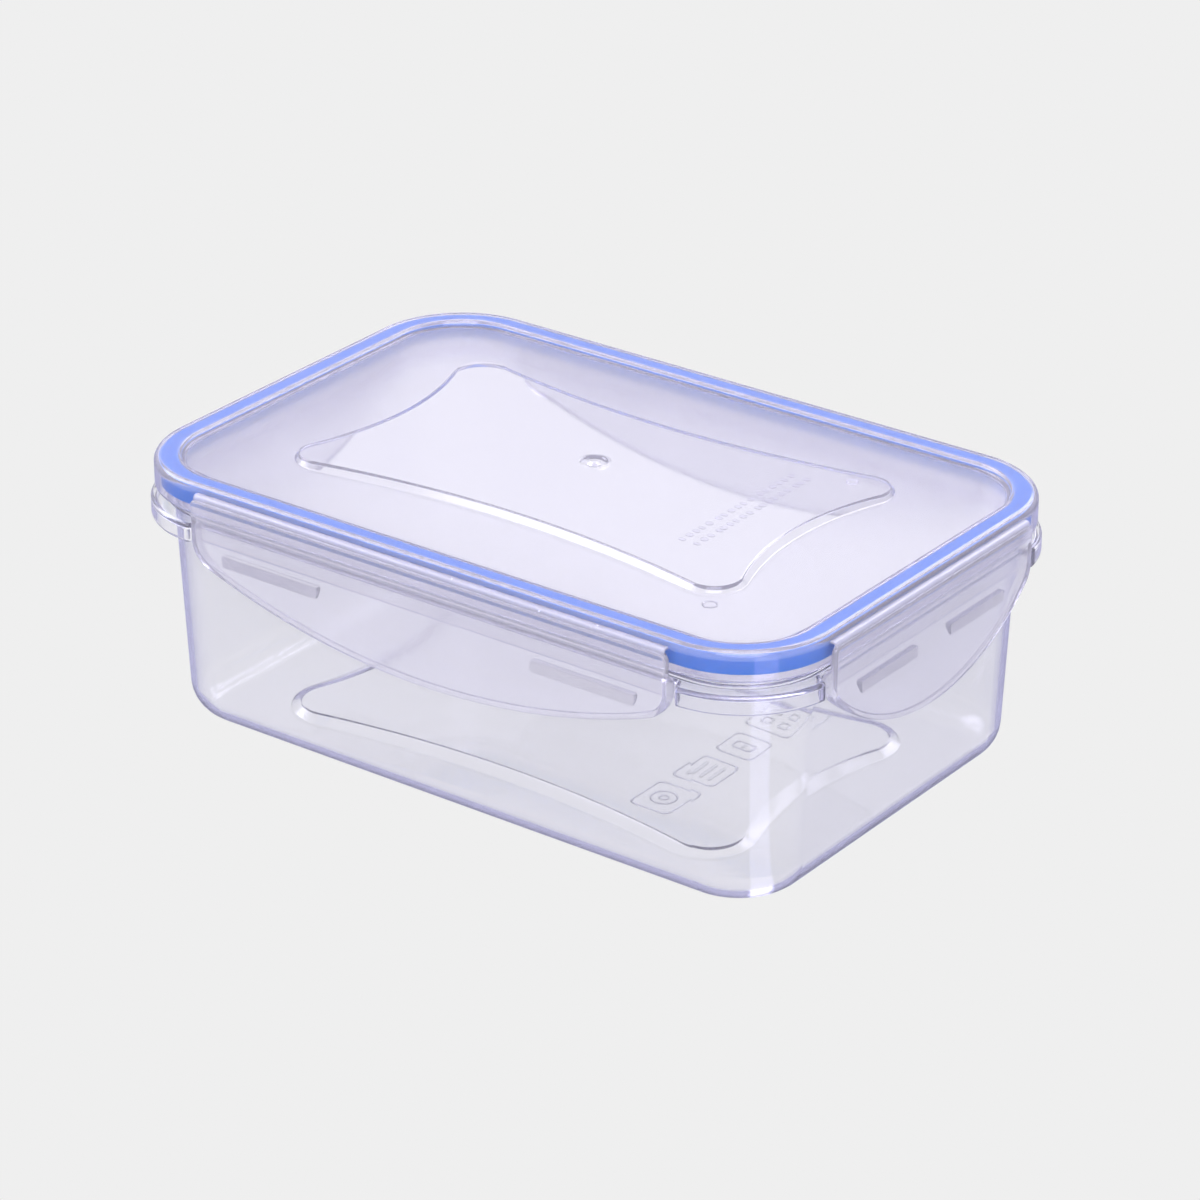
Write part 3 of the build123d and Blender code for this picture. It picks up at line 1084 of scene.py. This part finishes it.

# %% [markdown]
# ## Living hinges
#
# A living hinge is a strip of the same plastic, only half a millimetre thick. The melt has to
# run through it, which lines up the molecules, so it bends thousands of times. It joins the
# lid's rim to the flap's shoulder. Here it is drawn at rest only: one strip, curved over and
# down, that rides on no body, with two extra rows across the flat top before its bend.

# %% Living hinges
web_thickness = 0.5
web_out, web_bend = 1.25, 0.55  # how far out the strip hangs, and the radius of its bend
web_tuck = 0.6  # how far its ends reach into the lid and the flap
web_rows, web_places = (-0.2, 0.2), 25


def build_web(side):
    """A thin curved strip, from the rim's edge over and down to the flap's shoulder."""
    low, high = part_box(f"{side}_hinge_web")
    end = high[side_axis(side)[0]] / mm
    crest, foot = high.z / mm, low.z / mm
    middle = crest - web_thickness / 2
    path = rounded(
        [(-web_tuck, middle, 0, 0), (web_out, middle, 0, web_bend), (web_out, foot - web_tuck, 0, 0)]
    )
    path[1:1] = [np.array((out, middle, 0)) for out in web_rows]
    line = np.array([point[:2] for point in path])
    step = np.gradient(line, axis=0)
    normal = np.column_stack((-step[:, 1], step[:, 0])) / np.linalg.norm(step, axis=1)[:, None]
    half = normal * web_thickness / 2
    section = np.vstack((line + half, (line - half)[::-1]))
    shape = bmesh.new()
    rings = []
    for place in np.linspace(-end, end, web_places):
        rings.append(to_world(side, [(place, *point) for point in section]))
    close_ends(shape, loft(shape, rings))
    name = f"{side}_hinge_web"
    piece = new_piece(f"{name}_strip", shape, web_plastic, None, "lid_plastic", name)
    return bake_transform(piece)


webs = {side: build_web(side) for side in outward_of}

# %% [markdown]
# ## Studio
#
# The container stands on a pale sweep in an evenly lit white room, because clear plastic is
# lit by what stands round it. The camera looks down on it through a long lens, which keeps
# the upright edges nearly parallel.

# %% Camera
camera_azimuth, camera_elevation = radians(36.72), radians(25.82)
camera_distance = 1.2111  # metres, from the point that it looks at
camera_lens, sensor_width = 141.0, 36.0  # mm
aim_aside, aim_height = 0.00193, 0.03623  # metres
forward = Vector(
    (
        -sin(camera_azimuth) * cos(camera_elevation),
        cos(camera_azimuth) * cos(camera_elevation),
        -sin(camera_elevation),
    )
)
rightward = Vector((cos(camera_azimuth), sin(camera_azimuth), 0))
aim = rightward * aim_aside + Vector((0, 0, aim_height))
camera_data = bpy.data.cameras.new("camera")
camera_data.lens, camera_data.sensor_width = camera_lens, sensor_width
camera = bpy.data.objects.new("camera", camera_data)
camera.location = aim - forward * camera_distance
camera.rotation_mode = "QUATERNION"
camera.rotation_quaternion = forward.to_track_quat("-Z", "Y")
bpy.context.scene.collection.objects.link(camera)
bpy.context.scene.camera = camera
print("camera stands at, m:", [round(c, 3) for c in camera.location])

# %% [markdown]
# The sweep is a flat sheet that glows evenly, so that it takes no shadow. Clear plastic shows
# it twice: straight through the walls, and mirrored in them. In a real studio the sheet falls
# away into a darker room, and rims and corners are drawn by the dark that they mirror. So
# mirrored rays, which have a glossy depth, see a dimmer and cooler sheet.
#
# One sector of the sheet is a white card, in front of the tub's near corner. Only mirrored rays
# see it, and the round corner gathers it into the one bright stripe down its height.

# %% Sweep
floor_half, floor_gap = 4.0, 0.0004  # metres
sweep_seen, sweep_mirrored = "#EFEFEF", "#B4B3D6"
square = [(-1, -1), (1, -1), (1, 1), (-1, 1)]
floor_mesh = bpy.data.meshes.new("floor")
floor_corners = [(x * floor_half, y * floor_half, -floor_gap) for x, y in square]
floor_mesh.from_pydata(floor_corners, [], [(0, 1, 2, 3)])
floor = bpy.data.objects.new("floor", floor_mesh)
bpy.context.scene.collection.objects.link(floor)
paper, tree, output = new_material("studio_paper_matt")
floor_mesh.materials.append(paper)
mirrored = add_node(tree, "ShaderNodeLightPath").outputs["Glossy Depth"]
paper_tone = add_node(
    tree,
    "ShaderNodeMix",
    {"data_type": "RGBA", 6: colour(sweep_seen), 7: colour(sweep_mirrored)},
    {0: mirrored},
)
print("sweep is", 2 * floor_half, "m wide")

# %% White card on the sweep
card_direction, card_half_angle, card_soft_edge = radians(60), 12.0, 1.0
card_strength = 2.2  # times the sweep, on top of it
near_corner = (half_length - corner_radius, corner_radius - half_width, 0)
spot = add_node(tree, "ShaderNodeNewGeometry").outputs["Position"]
from_corner = add_node(
    tree, "ShaderNodeVectorMath", {"operation": "SUBTRACT", 1: Vector(near_corner) * mm}, {0: spot}
)
outward = add_node(
    tree, "ShaderNodeVectorMath", {"operation": "NORMALIZE"}, {0: from_corner.outputs[0]}
)
towards_card = add_node(
    tree,
    "ShaderNodeVectorMath",
    {"operation": "DOT_PRODUCT", 1: (sin(card_direction), -cos(card_direction), 0)},
    {0: outward.outputs[0]},
)
card_range = {
    "From Min": cos(radians(card_half_angle + card_soft_edge)),
    "From Max": cos(radians(card_half_angle - card_soft_edge)),
    "To Max": card_strength,
}
card = add_node(tree, "ShaderNodeMapRange", card_range, {"Value": towards_card.outputs["Value"]})
seen_card = add_node(
    tree, "ShaderNodeMath", {"operation": "MULTIPLY"}, {0: card.outputs[0], 1: mirrored}
)
brightness = add_node(
    tree, "ShaderNodeMath", {"operation": "ADD", 1: 1.0}, {0: seen_card.outputs[0]}
)
glow = add_node(
    tree,
    "ShaderNodeEmission",
    None,
    {"Color": paper_tone.outputs[2], "Strength": brightness.outputs[0]},
)
tree.links.new(glow.outputs[0], output.inputs["Surface"])
print("card fills", 2 * card_half_angle, "degrees of the sweep")

# %% [markdown]
# The room is a painted wall, the same in every direction, with three softboxes in it: left,
# behind and in front. They light the haze and the milk in the plastic, and its rims and
# roundings catch them as bright lines. None is overhead, and none stands where the camera
# would see it mirrored in the flat lid, because either would wash the lid out.

# %% Room
wall_paint = "#E8E6F5"
softbox_fade = 4  # degrees of soft edge on either side
softboxes = [  # direction, half angle in degrees, strength against the walls
    ((-0.75, -0.05, 0.65), 18, 6.0),
    ((-0.15, 0.80, 0.62), 15, 4.8),
    ((0.385, -0.514, 0.64), 22, 4.6),
]
room = bpy.data.worlds.new("white room")
bpy.context.scene.world = room
room.use_nodes = True
sky = room.node_tree
around = add_node(sky, "ShaderNodeTexCoord").outputs["Generated"]
light = add_node(sky, "ShaderNodeValue").outputs[0]
light.default_value = 1.0
for direction, spread, strength in softboxes:
    towards_box = add_node(
        sky,
        "ShaderNodeVectorMath",
        {"operation": "DOT_PRODUCT", 1: Vector(direction).normalized()},
        {0: around},
    )
    box_range = {
        "interpolation_type": "SMOOTHSTEP",
        "From Min": cos(radians(spread + softbox_fade)),
        "From Max": cos(radians(spread - softbox_fade)),
        "To Max": strength,
    }
    lit = add_node(sky, "ShaderNodeMapRange", box_range, {"Value": towards_box.outputs["Value"]})
    added = add_node(
        sky, "ShaderNodeMath", {"operation": "ADD"}, {0: light, 1: lit.outputs[0]}
    )
    light = added.outputs[0]
background = sky.nodes["Background"]
background.inputs["Color"].default_value = colour(wall_paint)
sky.links.new(light, background.inputs["Strength"])
print("softboxes:", len(softboxes))

# %% [markdown]
# Light passes many walls before it leaves a clear box, so it is given enough bounces to get
# out again. Too few would leave dark specks along the rims.

# %% Bounces
scene = bpy.context.scene
scene.view_settings.view_transform = "Standard"
scene.cycles.max_bounces = 32
scene.cycles.transmission_bounces = 32
scene.cycles.glossy_bounces = 24
scene.cycles.transparent_max_bounces = 32
print("bounces:", scene.cycles.max_bounces)

# %% [markdown]
# ## Pieces
#
# Every piece is counted, with its faces. The shells may not grow past the design.

# %% Count the pieces
pieces = [tub, lid, floor_marks, lid_marks, seal]
pieces += [*flaps.values(), *ribs.values(), *webs.values()]
print("pieces:", len(pieces), "faces:", sum(len(piece.data.polygons) for piece in pieces))
